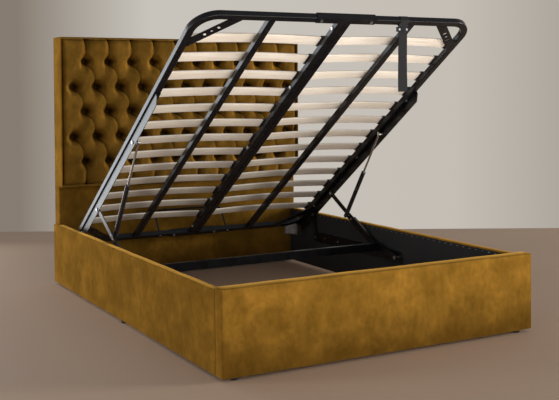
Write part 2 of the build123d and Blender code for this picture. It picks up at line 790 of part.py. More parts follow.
with BuildPart() as brace_pair:
    with BuildSketch(deck_plane):
        for at_head in (False, True):
            outline = ((tube_width, brace_near - tube_width), (tube_width, brace_far - tube_width),
                       (brace_far - tube_width, tube_width), (brace_near - tube_width, tube_width))
            Polygon(*[deck_corner(a, b, at_head) for a, b in outline], align=None)
            for step in (-brace_step, 0, brace_step):
                hole = deck_corner(brace_reach / 2 + step, brace_reach / 2 - step, at_head)
                slot_angle = brace_slot_angle if at_head else -brace_slot_angle
                with Locations(Location((hole[0], hole[1], 0), (0, 0, slot_angle))):
                    if step:
                        SlotOverall(brace_slot_length, brace_slot_width, mode=Mode.SUBTRACT)
                    else:
                        Circle(brace_slot_width / 2, mode=Mode.SUBTRACT)
    extrude(amount=brace_plate)
save_pair(brace_pair, "corner_braces")

# Lift angles under the side tubes, whose hanging leg holds the arm, link and strut pivots
angle_start_station = deck_length - angle_start_margin
angle_end = deck_length - angle_end_margin
angle_length = angle_end - angle_start_station
angle_bolt_side = angle_inner - angle_bolt_gap - bolt_head_radius
angle_bolts = [(angle_bolt_side, angle_start_station + share * angle_length)
               for share in angle_bolt_shares]
deck_pivots = (
    (arm_deck_station, -arm_deck_drop, pivot_radius),
    (link_deck_station, -link_deck_drop, stud_radius),
    (strut_deck_station, -strut_deck_drop, stud_radius),
)
with BuildPart() as lift_angle:
    with BuildSketch(deck_section(angle_end)):
        with Locations((angle_side, 0)):
            Rectangle(tube_width - angle_inset, angle_plate, align=(Align.MAX, Align.MAX))
            Rectangle(angle_plate, angle_depth, align=(Align.MAX, Align.MAX))
    extrude(amount=angle_length)
    with BuildSketch(deck_side_plane(angle_inner)):
        nose = [(angle_start_station, -angle_depth),
                (angle_start_station + angle_nose, -angle_depth),
                (angle_start_station, -angle_depth + angle_nose)]
        Polygon(*nose, align=None)
        for station, height, radius in deck_pivots:
            with Locations((station, height)):
                Circle(radius)
    extrude(amount=angle_plate, mode=Mode.SUBTRACT)
    with BuildSketch(deck_plane.offset(-angle_plate)):
        with Locations(*angle_bolts):
            Circle(stud_radius)
    extrude(amount=angle_plate, mode=Mode.SUBTRACT)
save_both_sides(lift_angle, "lift_angle")

with BuildPart() as angle_bolt_half:
    with BuildSketch(deck_plane):
        with Locations(*angle_bolts):
            Circle(stud_radius)
    extrude(amount=-angle_plate)
    with BuildSketch(deck_plane.offset(-angle_plate)):
        with Locations(*angle_bolts):
            Circle(bolt_head_radius)
    extrude(amount=-bolt_head_height)
save_pair(angle_bolt_half, "lift_angle_bolts")

# Pivots that ride with the deck: whole bolts for the arms, short studs with nuts for the others
arm_bolt_face = strap_inner - washer_gap
strut_nut_place = deck_point(strut_deck_station, -strut_deck_drop)
with BuildPart() as deck_pivot_group:
    peg(arm_bolt_face, arm_top, pivot_radius, angle_side - arm_bolt_face)
    peg(arm_bolt_face, arm_top, pivot_head_radius, -pivot_head_height)
    peg(angle_side, arm_top, nut_radius, nut_height)
    peg(angle_inner, link_top, stud_radius, angle_plate)
    peg(angle_inner, link_top, nut_radius, -nut_height)
    peg(angle_inner, strut_nut_place, stud_radius, angle_plate)
    peg(angle_side, strut_nut_place, nut_radius, nut_height)
save_pair(deck_pivot_group, "deck_pivot_bolts")

# Bowed slats, whose ends sit in caps on top of the side and centre tubes
slat_left = centre_tube_side + half_tube
slat_right = deck_side - tube_width
slat_stations = [slat_first_station + slat_pitch * row for row in range(slat_count)]
slat_middle = (slat_left + slat_right) / 2
slat_seat = tube_height + cap_floor
cap_reach = slat_right - slat_left + 2 * cap_lap - cap_length


def slat(station, growth):
    """A slat bowed upwards across half the deck, grown all round to cut its seat."""
    start, end = slat_left - slat_lap - growth, slat_right + slat_lap + growth
    low, high = slat_seat - growth, slat_seat + slat_thickness + growth
    with BuildSketch(deck_section(station + slat_width / 2 + growth)) as section:
        with BuildLine():
            ThreePointArc((start, low), (slat_middle, low + slat_bow), (end, low))
            Line((end, low), (end, high))
            ThreePointArc((end, high), (slat_middle, high + slat_bow), (start, high))
            Line((start, high), (start, low))
        make_face()
    mode = Mode.SUBTRACT if growth else Mode.ADD
    extrude(section.sketch, amount=slat_width + 2 * growth, mode=mode)


with BuildPart() as slats:
    for station in slat_stations:
        slat(station, 0.0)
save_both_sides(slats, "slats")

with BuildPart() as slat_caps:
    with BuildSketch(deck_plane.offset(tube_height)):
        with Locations((slat_middle, (slat_stations[0] + slat_stations[-1]) / 2)):
            with GridLocations(cap_reach, slat_pitch, 2, slat_count):
                Rectangle(cap_length, cap_width)
    extrude(amount=cap_height)
    for station in slat_stations:
        slat(station, cap_play)
save_both_sides(slat_caps, "slat_caps")

# Mattress stop: a hoop that stands on the head tube, and its nuts
with BuildPart() as mattress_stop:
    with BuildLine(deck_section(head_station)) as stop_path:
        FilletPolyline(
            (-stop_side, -stop_tail),
            (-stop_side, stop_height),
            (stop_side, stop_height),
            (stop_side, -stop_tail),
            radius=stop_bend,
        )
    with BuildSketch(Plane(origin=stop_path.line @ 0, z_dir=stop_path.line % 0)):
        Circle(stop_rod_radius)
    sweep(path=stop_path.line)
save(mattress_stop, "mattress_stop")

with BuildPart() as stop_nuts:
    with BuildSketch(deck_plane):
        with Locations((stop_side, head_station), (-stop_side, head_station)):
            RegularPolygon(nut_radius, 6)
            Circle(stop_rod_radius, mode=Mode.SUBTRACT)
    extrude(amount=-nut_height)
save(stop_nuts, "mattress_stop_nuts")

# Pull strap: a loop round the foot tube with a doubled tail that hangs straight down
strap_low = pull_strap_centre - pull_strap_width / 2
tail_top = deck_point(tube_width - pull_strap_thickness, -pull_strap_thickness / 2)
tail_bottom = tail_top[1] - pull_strap_tail
with BuildPart() as pull_strap:
    with BuildSketch(deck_side_plane(strap_low)):
        with Locations((half_tube, tube_middle)):
            RectangleRounded(tube_width + 2 * pull_strap_thickness,
                             tube_height + 2 * pull_strap_thickness, pull_strap_round)
    extrude(amount=pull_strap_width)
    block((strap_low, tail_top[0] - pull_strap_thickness, tail_bottom),
          (strap_low + pull_strap_width, tail_top[0] + pull_strap_thickness,
           tail_top[1] + pull_strap_thickness))
    with BuildSketch(deck_side_plane(strap_low)):
        with Locations((half_tube, tube_middle)):
            RectangleRounded(tube_width, tube_height, tube_round)
    extrude(amount=pull_strap_width, mode=Mode.SUBTRACT)
save(pull_strap, "pull_strap")

# A keeper plate on each face of the tail, with two rivets near the strap's edges
keeper_top = tail_top[1] - keeper_drop
keeper_low = (pull_strap_centre - keeper_width / 2, keeper_top - keeper_depth)
keeper_high = (pull_strap_centre + keeper_width / 2, keeper_top)
keeper_front = tail_top[0] - pull_strap_thickness - keeper_plate
keeper_back = tail_top[0] + pull_strap_thickness
with BuildPart() as strap_keeper:
    for keeper_y in (keeper_front, keeper_back):
        block((keeper_low[0], keeper_y, keeper_low[1]),
              (keeper_high[0], keeper_y + keeper_plate, keeper_high[1]))
save(strap_keeper, "strap_keeper")

rivet_side = pull_strap_width / 2 - rivet_edge
with BuildPart() as strap_rivets:
    for direction, face in ((-1, keeper_front), (1, keeper_back + keeper_plate)):
        place = (pull_strap_centre, face, keeper_top - keeper_depth / 2)
        with BuildSketch(Plane(origin=place, x_dir=(1, 0, 0), z_dir=(0, direction, 0))):
            with Locations((-rivet_side, 0), (rivet_side, 0)):
                Circle(rivet_radius)
        extrude(amount=rivet_height)
save(strap_rivets, "strap_rivets")

# Gas struts: a cylinder on the knee stud and a rod whose eye meets the deck's stud
strut_plane = Plane(
    origin=(strut_side, knee[0], knee[1]),
    x_dir=(1, 0, 0),
    z_dir=(0, strut_top[0] - knee[0], strut_top[1] - knee[1]),
)
rod_start = cylinder_length - piston_depth
with BuildPart() as gas_cylinder:
    with BuildSketch(strut_plane):
        Circle(cylinder_radius)
    extrude(amount=cylinder_length)
    with BuildSketch(strut_plane.offset(cylinder_base)):
        Circle(cylinder_bore)
    extrude(amount=cylinder_length - cylinder_base - cylinder_guide, mode=Mode.SUBTRACT)
    with BuildSketch(strut_plane.offset(cylinder_length)):
        Circle(rod_radius + running_clearance)
    extrude(amount=-cylinder_guide, mode=Mode.SUBTRACT)
    peg(strut_side - cylinder_radius, knee, strut_eye_radius, 2 * cylinder_radius,
        mode=Mode.SUBTRACT)
    peg(strut_eye_inner, knee, strut_eye_radius, strut_eye_width)
    with BuildSketch(strut_plane):
        Circle(strut_eye_width / 2)
    extrude(amount=strut_eye_radius + strut_eye_width / 2)
    peg(strut_eye_inner, knee, stud_radius + running_clearance, strut_eye_width,
        mode=Mode.SUBTRACT)
save_both_sides(gas_cylinder, "gas_cylinder")

with BuildPart() as gas_rod:
    with BuildSketch(strut_plane.offset(rod_start)):
        Circle(rod_radius)
    extrude(amount=strut_length - rod_start - strut_eye_radius / 2)
    with BuildSketch(strut_plane.offset(rod_start)):
        Circle(piston_radius)
    extrude(amount=piston_length)
    peg(strut_eye_inner, strut_top, strut_eye_radius, strut_eye_width)
    peg(strut_eye_outer, strut_top, stud_radius, angle_inner - open_pivot_gap - strut_eye_outer)
save_both_sides(gas_rod, "gas_rod")
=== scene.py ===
import json
import math

import bpy
import numpy as np
from mathutils import Matrix, Vector, noise


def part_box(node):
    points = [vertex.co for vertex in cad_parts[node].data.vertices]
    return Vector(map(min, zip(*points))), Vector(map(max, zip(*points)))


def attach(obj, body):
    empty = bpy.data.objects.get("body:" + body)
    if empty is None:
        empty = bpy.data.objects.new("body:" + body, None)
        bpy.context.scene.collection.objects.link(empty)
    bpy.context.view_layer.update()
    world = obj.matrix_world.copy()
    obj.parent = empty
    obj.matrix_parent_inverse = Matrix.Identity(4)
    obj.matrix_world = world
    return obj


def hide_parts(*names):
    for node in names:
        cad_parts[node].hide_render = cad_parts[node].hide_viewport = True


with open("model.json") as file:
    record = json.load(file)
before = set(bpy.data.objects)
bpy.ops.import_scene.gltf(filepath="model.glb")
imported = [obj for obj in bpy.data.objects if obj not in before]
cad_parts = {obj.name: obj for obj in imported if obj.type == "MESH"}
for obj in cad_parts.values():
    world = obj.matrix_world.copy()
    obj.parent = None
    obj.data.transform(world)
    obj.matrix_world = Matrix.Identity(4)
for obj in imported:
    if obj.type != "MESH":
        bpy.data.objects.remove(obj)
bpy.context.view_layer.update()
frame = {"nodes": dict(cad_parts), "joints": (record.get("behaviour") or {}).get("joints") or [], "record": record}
nodes = frame["nodes"]

# Measures in metres, read from the model's own boxes
lining_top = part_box("side_rail_lining_right")[1].z
foot_low, foot_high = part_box("footboard_cover")
foot_lining_low, foot_lining_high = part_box("footboard_lining")
lower_low, lower_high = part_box("headboard_lower_cover")
border_low, border_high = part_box("headboard_border")
pad_low, pad_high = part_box("headboard_pad")
cloth_low, cloth_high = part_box("headboard_back_cloth")

# The raised deck's own frame: Y runs along it towards the headboard, Z out of its top
deck_tilt = math.radians(34.58)
fold_place = next(joint["pos_m"] for joint in frame["joints"] if joint["name"] == "deck_fold")
fold_station = 1.471
fold_drop = 0.0287
deck_turn = Matrix.Rotation(-deck_tilt, 4, "X")
deck_origin = Vector(fold_place) - deck_turn @ Vector((0, fold_station, -fold_drop))
deck = Matrix.Translation(deck_origin) @ deck_turn
tube_width = 0.03
tube_height = 0.025

# The photograph's view
camera_place = (-2.1834, -4.0776, 1.0282)
camera_yaw = 29.0924
camera_pitch = -1.28157
camera_roll = -0.38523
camera_lens = 62.93
camera_sensor_width = 36
camera_shift_up = -0.161

camera_data = bpy.data.cameras.new("camera")
camera_data.lens = camera_lens
camera_data.sensor_width = camera_sensor_width
camera_data.shift_y = camera_shift_up
camera = bpy.data.objects.new("camera", camera_data)
bpy.context.scene.collection.objects.link(camera)
camera.matrix_world = (
    Matrix.Translation(camera_place)
    @ Matrix.Rotation(math.radians(-camera_yaw), 4, "Z")
    @ Matrix.Rotation(math.radians(90 + camera_pitch), 4, "X")
    @ Matrix.Rotation(math.radians(camera_roll), 4, "Z")
)
bpy.context.scene.camera = camera


# Materials


def new_material(name, colour, roughness, specular=0.5, metallic=0.0):
    material = bpy.data.materials.new(name)
    material.use_nodes = True
    shader = material.node_tree.nodes["Principled BSDF"]
    shader.inputs["Base Color"].default_value = (*colour, 1)
    shader.inputs["Roughness"].default_value = roughness
    shader.inputs["Specular IOR Level"].default_value = specular
    shader.inputs["Metallic"].default_value = metallic
    return material


def add_noise(material, scale, detail=3.0, stretch=(1, 1, 1), distortion=0.0):
    """A noise pattern on the object's own coordinates; scale is its repeats in a metre."""
    tree = material.node_tree
    place = tree.nodes.new("ShaderNodeTexCoord")
    mapping = tree.nodes.new("ShaderNodeMapping")
    mapping.inputs["Scale"].default_value = stretch
    pattern = tree.nodes.new("ShaderNodeTexNoise")
    pattern.inputs["Scale"].default_value = scale
    pattern.inputs["Detail"].default_value = detail
    pattern.inputs["Distortion"].default_value = distortion
    tree.links.new(place.outputs["Object"], mapping.inputs["Vector"])
    tree.links.new(mapping.outputs["Vector"], pattern.inputs["Vector"])
    return pattern.outputs["Fac"]


def add_ramp(material, source, stops):
    """A colour for each level of a pattern."""
    tree = material.node_tree
    ramp = tree.nodes.new("ShaderNodeValToRGB")
    elements = ramp.color_ramp.elements
    while len(elements) < len(stops):
        elements.new(0.5)
    for element, (position, colour) in zip(elements, stops):
        element.position = position
        element.color = (*colour, 1)
    tree.links.new(source, ramp.inputs["Fac"])
    return ramp.outputs["Color"]


def blend_colours(material, first, second, factor, mode="MULTIPLY"):
    tree = material.node_tree
    mix = tree.nodes.new("ShaderNodeMix")
    mix.data_type = "RGBA"
    mix.blend_type = mode
    mix.inputs[0].default_value = factor
    tree.links.new(first, mix.inputs[6])
    tree.links.new(second, mix.inputs[7])
    return mix.outputs[2]


def set_colour(material, source):
    shader = material.node_tree.nodes["Principled BSDF"]
    material.node_tree.links.new(source, shader.inputs["Base Color"])


def set_roughness(material, source, low, high):
    tree = material.node_tree
    spread = tree.nodes.new("ShaderNodeMapRange")
    spread.inputs["To Min"].default_value = low
    spread.inputs["To Max"].default_value = high
    tree.links.new(source, spread.inputs["Value"])
    tree.links.new(spread.outputs["Result"],
                   tree.nodes["Principled BSDF"].inputs["Roughness"])


def add_bump(material, source, strength, distance):
    """Adds a layer of fine relief on top of those already there."""
    tree = material.node_tree
    shader = tree.nodes["Principled BSDF"]
    bump = tree.nodes.new("ShaderNodeBump")
    bump.inputs["Strength"].default_value = strength
    bump.inputs["Distance"].default_value = distance
    tree.links.new(source, bump.inputs["Height"])
    if shader.inputs["Normal"].links:
        tree.links.new(shader.inputs["Normal"].links[0].from_socket, bump.inputs["Normal"])
    tree.links.new(bump.outputs["Normal"], shader.inputs["Normal"])


def make_velvet(name, painted_shading_attribute=None):
    """Crushed mustard velvet with a mottled nap; given a shading attribute, its colour also carries painted shade
    in hollows and creases and painted highlights.
    """
    velvet = new_material(name, (0.25, 0.124, 0.017), 0.85, specular=0.0)
    shader = velvet.node_tree.nodes["Principled BSDF"]
    shader.inputs["Sheen Weight"].default_value = 0.6
    shader.inputs["Sheen Roughness"].default_value = 0.3
    shader.inputs["Sheen Tint"].default_value = (1.0, 0.54, 0.11, 1)
    nap = add_noise(velvet, 9, detail=8, distortion=0.25)
    strokes = add_noise(velvet, 42, detail=5, stretch=(1, 1, 0.75), distortion=0.4)
    pile = add_noise(velvet, 520, detail=2)
    nap_colour = add_ramp(velvet, nap, [(0.36, (0.175, 0.088, 0.012)), (0.5, (0.22, 0.112, 0.016)),
                                        (0.66, (0.285, 0.143, 0.02))])
    stroke_colour = add_ramp(velvet, strokes, [(0.34, (0.74, 0.75, 0.76)), (0.66, (1, 1, 1))])
    pile_colour = add_ramp(velvet, pile, [(0.3, (0.82, 0.8, 0.78)), (0.7, (1, 1, 1))])
    colour = blend_colours(velvet, nap_colour, stroke_colour, 0.8)
    colour = blend_colours(velvet, colour, pile_colour, 0.9)
    if painted_shading_attribute:
        painted_shading_node = velvet.node_tree.nodes.new("ShaderNodeAttribute")
        painted_shading_node.attribute_name = painted_shading_attribute
        # This ramp paints shade, down to a tenth of the colour, and painted highlights, up to about twice its
        # brightness.
        pressed = add_ramp(velvet, painted_shading_node.outputs["Fac"], [
            (0.0, (0.1, 0.09, 0.08)), (0.4, (0.42, 0.42, 0.4)), (0.72, (1, 1.03, 1.15)),
            (1.0, (2.2, 2.1, 1.9))])
        colour = blend_colours(velvet, colour, pressed, 1.0)
    set_colour(velvet, colour)
    set_roughness(velvet, strokes, 0.7, 0.9)
    add_bump(velvet, strokes, 0.12, 0.003)
    add_bump(velvet, pile, 0.25, 0.0006)
    return velvet


def make_felt(name, colour):
    felt = new_material(name, colour, 0.9, specular=0.25)
    felt.node_tree.nodes["Principled BSDF"].inputs["Sheen Weight"].default_value = 0.12
    fibres = add_noise(felt, 260, detail=5, distortion=1.2)
    patches = add_noise(felt, 7, detail=3)
    darker = tuple(0.6 * c for c in colour)
    lighter = tuple(1.5 * c for c in colour)
    fibre_colour = add_ramp(felt, fibres, [(0.3, darker), (0.7, lighter)])
    patch_colour = add_ramp(felt, patches, [(0.3, (0.75, 0.75, 0.75)), (0.7, (1, 1, 1))])
    set_colour(felt, blend_colours(felt, fibre_colour, patch_colour, 1.0))
    add_bump(felt, fibres, 0.5, 0.0006)
    return felt


def make_woven(name, colour, threads, sheen=0.1):
    """A plain weave: two sets of ridges across each other."""
    woven = new_material(name, colour, 0.8, specular=0.3)
    tree = woven.node_tree
    tree.nodes["Principled BSDF"].inputs["Sheen Weight"].default_value = sheen
    place = tree.nodes.new("ShaderNodeTexCoord")
    ridges = []
    for direction in ("X", "Z"):
        wave = tree.nodes.new("ShaderNodeTexWave")
        wave.bands_direction = direction
        wave.inputs["Scale"].default_value = threads
        wave.inputs["Distortion"].default_value = 0.6
        wave.inputs["Detail Scale"].default_value = 4
        tree.links.new(place.outputs["Object"], wave.inputs["Vector"])
        ridges.append(wave.outputs["Color"])
    weave = blend_colours(woven, ridges[0], ridges[1], 0.5, mode="DARKEN")
    darker = tuple(0.55 * c for c in colour)
    lighter = tuple(1.6 * c for c in colour)
    set_colour(woven, add_ramp(woven, weave, [(0.2, darker), (0.8, lighter)]))
    add_bump(woven, weave, 0.5, 0.0008)
    return woven


def make_painted_steel():
    """Semi-gloss black powder coat, with its fine orange-peel skin."""
    steel = new_material("black_powder_coat", (0.005, 0.005, 0.006), 0.3, specular=0.4)
    skin = add_noise(steel, 420, detail=2)
    dust = add_noise(steel, 14, detail=5)
    colour = add_ramp(steel, dust, [(0.3, (0.003, 0.003, 0.004)), (0.75, (0.007, 0.007, 0.008))])
    set_colour(steel, colour)
    set_roughness(steel, dust, 0.22, 0.34)
    add_bump(steel, skin, 0.1, 0.0005)
    return steel


def make_slat_wood():
    """Pale beech veneer, with its grain along the slat."""
    wood = new_material("beech_veneer", (0.85, 0.76, 0.63), 0.45, specular=0.4)
    grain = add_noise(wood, 1.0, detail=6, stretch=(5, 240, 240), distortion=0.35)
    figure = add_noise(wood, 1.0, detail=4, stretch=(2.2, 38, 38), distortion=0.8)
    flecks = add_noise(wood, 1.0, detail=2, stretch=(60, 900, 900))
    grain_colour = add_ramp(wood, grain, [(0.3, (0.81, 0.71, 0.58)), (0.5, (0.89, 0.82, 0.71)),
                                          (0.7, (0.93, 0.88, 0.79))])
    figure_colour = add_ramp(wood, figure, [(0.3, (0.92, 0.88, 0.83)), (0.6, (1, 1, 1))])
    fleck_colour = add_ramp(wood, flecks, [(0.28, (0.8, 0.72, 0.62)), (0.42, (1, 1, 1))])
    colour = blend_colours(wood, grain_colour, figure_colour, 0.8)
    set_colour(wood, blend_colours(wood, colour, fleck_colour, 0.6))
    set_roughness(wood, grain, 0.38, 0.55)
    add_bump(wood, grain, 0.12, 0.0004)
    return wood


def make_board():
    board = new_material("raw_board", (0.5, 0.37, 0.24), 0.8, specular=0.3)
    chips = add_noise(board, 170, detail=4)
    streaks = add_noise(board, 1.0, detail=3, stretch=(14, 14, 60))
    chip_colour = add_ramp(board, chips, [(0.3, (0.33, 0.23, 0.14)), (0.7, (0.6, 0.46, 0.31))])
    streak_colour = add_ramp(board, streaks, [(0.3, (0.85, 0.82, 0.8)), (0.7, (1, 1, 1))])
    set_colour(board, blend_colours(board, chip_colour, streak_colour, 1.0))
    add_bump(board, chips, 0.3, 0.0008)
    return board


def make_zinc():
    zinc = new_material("bright_zinc", (0.62, 0.63, 0.65), 0.3, metallic=1.0)
    spangle = add_noise(zinc, 90, detail=3)
    brushing = add_noise(zinc, 1.0, detail=3, stretch=(500, 500, 40))
    colour = add_ramp(zinc, spangle, [(0.3, (0.5, 0.51, 0.52)), (0.7, (0.72, 0.72, 0.71))])
    set_colour(zinc, colour)
    set_roughness(zinc, spangle, 0.22, 0.42)
    add_bump(zinc, brushing, 0.08, 0.0002)
    return zinc


def make_plastic():
    plastic = new_material("moulded_black_plastic", (0.018, 0.019, 0.021), 0.3, specular=0.5)
    grain = add_noise(plastic, 700, detail=2)
    wear = add_noise(plastic, 30, detail=3)
    set_colour(plastic, add_ramp(plastic, wear, [(0.3, (0.014, 0.015, 0.017)),
                                                 (0.75, (0.026, 0.028, 0.031))]))
    set_roughness(plastic, wear, 0.24, 0.4)
    add_bump(plastic, grain, 0.25, 0.0003)
    return plastic


def make_strut_black():
    gloss = new_material("gloss_black_lacquer", (0.012, 0.012, 0.014), 0.16, specular=0.6)
    gloss.node_tree.nodes["Principled BSDF"].inputs["Coat Weight"].default_value = 0.4
    haze = add_noise(gloss, 60, detail=3)
    set_colour(gloss, add_ramp(gloss, haze, [(0.3, (0.01, 0.01, 0.012)),
                                             (0.7, (0.018, 0.018, 0.02))]))
    set_roughness(gloss, haze, 0.12, 0.24)
    add_bump(gloss, haze, 0.03, 0.0003)
    return gloss


def make_chrome():
    chrome = new_material("polished_rod", (0.74, 0.75, 0.77), 0.24, metallic=1.0)
    lathe = add_noise(chrome, 1.0, detail=2, stretch=(900, 900, 900))
    set_roughness(chrome, lathe, 0.18, 0.3)
    set_colour(chrome, add_ramp(chrome, lathe, [(0.3, (0.68, 0.69, 0.71)),
                                                (0.7, (0.8, 0.81, 0.82))]))
    return chrome


velvet = make_velvet("mustard_velvet")
tufted_velvet_painted_shading = make_velvet("tufted_mustard_velvet", painted_shading_attribute="pile_lie")
lining_felt = make_felt("black_lining_felt", (0.012, 0.012, 0.013))
back_weave = make_woven("black_back_cloth", (0.02, 0.02, 0.021), 160)
webbing = make_woven("black_webbing", (0.009, 0.009, 0.01), 260, sheen=0.03)
steel = make_painted_steel()
slat_wood = make_slat_wood()
board = make_board()
zinc = make_zinc()
plastic = make_plastic()
strut_black = make_strut_black()
chrome = make_chrome()

slot_materials = {
    "velvet": velvet,
    "lining": lining_felt,
    "back_cloth": back_weave,
    "board": board,
    "slat_wood": slat_wood,
    "frame_steel": steel,
    "strut_body": strut_black,
    "strut_rod": chrome,
    "zinc": zinc,
    "black_plastic": plastic,
    "webbing": webbing,
}
for subpart in frame["record"]["subparts"]:
    for slot in nodes[subpart["node"]].material_slots:
        slot.material = slot_materials[subpart["material_slot"]]


# Modelling helpers

touching = 1e-5
weld_distance = 1e-6


def only(piece):
    """Selects the piece alone."""
    bpy.ops.object.select_all(action="DESELECT")
    piece.select_set(True)
    bpy.context.view_layer.objects.active = piece


def settle(piece):
    """Puts the piece's place and turn into its mesh."""
    only(piece)
    bpy.ops.object.transform_apply(location=True, rotation=True, scale=True)


def brick(name, low, high):
    """A block between two corners."""
    low, high = Vector(low), Vector(high)
    bpy.ops.object.select_all(action="DESELECT")
    bpy.ops.mesh.primitive_cube_add(size=1, location=(low + high) / 2)
    piece = bpy.context.active_object
    piece.name = name
    piece.scale = high - low
    settle(piece)
    return piece


def upright_plane(name, width, height, place):
    """A plane across the bed that faces its foot."""
    bpy.ops.object.select_all(action="DESELECT")
    bpy.ops.mesh.primitive_plane_add(size=1, location=place, rotation=(math.pi / 2, 0, 0))
    piece = bpy.context.active_object
    piece.name = name
    piece.scale = (width, height, 1)
    settle(piece)
    return piece


def pick(piece, kind, test):
    """Opens edit mode with the vertices, edges or faces whose points all pass the test."""
    only(piece)
    bpy.ops.object.mode_set(mode="EDIT")
    bpy.ops.mesh.select_mode(type=kind)
    bpy.ops.mesh.select_all(action="DESELECT")
    bpy.ops.object.mode_set(mode="OBJECT")
    mesh = piece.data
    if kind == "VERT":
        for vertex in mesh.vertices:
            vertex.select = test([vertex.co])
    else:
        for item in mesh.edges if kind == "EDGE" else mesh.polygons:
            item.select = test([mesh.vertices[index].co for index in item.vertices])
    bpy.ops.object.mode_set(mode="EDIT")


def pick_all(piece):
    """Opens edit mode with everything selected."""
    only(piece)
    bpy.ops.object.mode_set(mode="EDIT")
    bpy.ops.mesh.select_all(action="SELECT")


def close_edit():
    bpy.ops.object.mode_set(mode="OBJECT")


def along(axis):
    """A test for edges that run along an axis."""
    others = [i for i in range(3) if i != axis]
    return lambda points: all(abs(points[0][i] - points[1][i]) < touching for i in others)


def across_at(axis, place):
    """A test for edges and faces that lie on a plane across an axis."""
    return lambda points: all(abs(point[axis] - place) < touching for point in points)


def divide(piece, axis, cuts, longer_than=0.0):
    """Cuts the edges that run along an axis into equal lengths."""
    runs = along(axis)
    pick(piece, "EDGE", lambda points: runs(points) and math.dist(*points) > longer_than)
    bpy.ops.mesh.subdivide(number_cuts=cuts)
    close_edit()


def bisect(piece, place, normal):
    pick_all(piece)
    bpy.ops.mesh.bisect(plane_co=place, plane_no=normal)
    close_edit()


def extrude(x=0.0, y=0.0, z=0.0):
    """Draws out what is picked."""
    bpy.ops.mesh.extrude_region_move(TRANSFORM_OT_translate={"value": (x, y, z)})


def delete_faces(piece, test):
    pick(piece, "FACE", test)
    bpy.ops.mesh.delete(type="FACE")
    close_edit()


def soften(piece, width, segments=3, angle=30):
    """Rounds the edges that are sharper than the angle."""
    only(piece)
    bpy.ops.object.modifier_add(type="BEVEL")
    rounding = piece.modifiers[-1]
    rounding.width = width
    rounding.segments = segments
    rounding.limit_method = "ANGLE"
    rounding.angle_limit = math.radians(angle)
    bpy.ops.object.modifier_apply(modifier=rounding.name)


def thicken(piece, thickness, offset=-1.0):
    """Gives a skin its thickness, inwards unless told otherwise."""
    only(piece)
    bpy.ops.object.modifier_add(type="SOLIDIFY")
    wall = piece.modifiers[-1]
    wall.thickness = thickness
    wall.offset = offset
    wall.use_even_offset = True
    bpy.ops.object.modifier_apply(modifier=wall.name)


def turn_out(piece):
    """Makes all faces point outwards."""
    pick_all(piece)
    bpy.ops.mesh.remove_doubles(threshold=weld_distance)
    bpy.ops.mesh.normals_make_consistent(inside=False)
    close_edit()


def ripple(piece, height, size, seed):
    """Lets a cloth face wander a little, as cloth over foam does."""
    for vertex in piece.data.vertices:
        place = vertex.co / size + Vector((seed, seed, seed))
        vertex.co += vertex.normal * height * noise.noise(place)


def repeated(piece, places, name):
    """Copies the piece to each place, given as a matrix, and joins the copies."""
    copies = []
    for place in places:
        copy = piece.copy()
        copy.data = piece.data.copy()
        copy.data.transform(place)
        bpy.context.scene.collection.objects.link(copy)
        copies.append(copy)
    bpy.data.objects.remove(piece)
    only(copies[0])
    for copy in copies:
        copy.select_set(True)
    bpy.ops.object.join()
    joined = bpy.context.active_object
    joined.name = name
    return joined


def complete(piece, material, body, replaced=(), crease=40):
    """Shades, paints and registers a finished piece."""
    settle(piece)
    bpy.ops.object.shade_smooth_by_angle(angle=math.radians(crease))
    piece.data.materials.clear()
    piece.data.materials.append(material)
    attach(piece, body)
    if replaced:
        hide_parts(*replaced)


def mesh_points(piece):
    """The piece's points as rows of X, Y and Z."""
    points = np.empty(len(piece.data.vertices) * 3)
    piece.data.vertices.foreach_get("co", points)
    return points.reshape(-1, 3)


def set_painted_shading(piece, values):
    """Stores the painted shade and highlight level at each point, for the tufted velvet."""
    painted_light = piece.data.attributes.new("pile_lie", "FLOAT", "POINT")
    painted_light.data.foreach_set("value", values)


# The tufted headboard pad, whose relief is worked out from its buttons and creases

tuft_columns = 10
tuft_rows = 5
tuft_pitch_across = 0.1282
tuft_pitch_up = 0.131
tuft_middle = (border_low.z + border_high.z) / 2
pad_floor = 0.945
pad_crown = 0.8965
cells_across = 420
cells_up = 228

# Folds run down to the right, and shallow valleys up to the right
nearest_share = 0.6
crease_bow = 0.015
pleat_bow = 0.006
fold_lip = 0.005
fold_reach = 0.05
fold_level = 0.6
valley_reach = 0.05
valley_level = 0.74
side_valley_level = 0.85
edge_reach = 0.034
edge_fullness = 2.4

# The hollow round a button is wider on its right and has small pleats round its rim
dimple_radius = 0.034
dimple_bottom = 0.006
dimple_widening = 0.32
dimple_turn = 0.2
rim_pleats = 9
rim_pleat_shift = 40
rim_pleat_radius = 0.034
rim_pleat_reach = 0.014
rim_pleat_depth = 0.045

# Painted shade and painted highlights for the tufted velvet's colour, with places and sizes measured from a button
# or a fold
unshaded_level = 0.72
hollow_painted_shade = 0.62
crease_shade_width = 0.0045
crease_painted_shade = 0.4
shade_place = (0.013, 0.003)
shade_size = (0.021, 0.015)
button_side_painted_shade = 0.5
rim_highlight_place = (-0.021, -0.012)
rim_highlight_size = (0.011, 0.025)
rim_painted_highlight = 0.26
edge_shade_width = 0.008
edge_painted_shade = 0.6
pleat_start = 0.03
pleat_light_place = -0.012
pleat_light_width = 0.009
pleat_painted_highlight = 0.13
pleat_dark_place = 0.003
pleat_dark_width = 0.005
pleat_painted_shade = 0.3
button_painted_shade = 0.16


def button_row(row):
    """X and Z of the buttons in a row; every other row holds one more, half a pitch out."""
    count = tuft_columns + row % 2
    z = tuft_middle + (row - (tuft_rows - 1) / 2) * tuft_pitch_up
    return [((column - (count - 1) / 2) * tuft_pitch_across, z) for column in range(count)]


button_rows = [button_row(row) for row in range(tuft_rows)]
buttons = [place for row in button_rows for place in row]
neighbours = [(low, high) for lower, upper in zip(button_rows, button_rows[1:])
              for low in lower for high in upper
              if abs(low[0] - high[0]) < nearest_share * tuft_pitch_across]


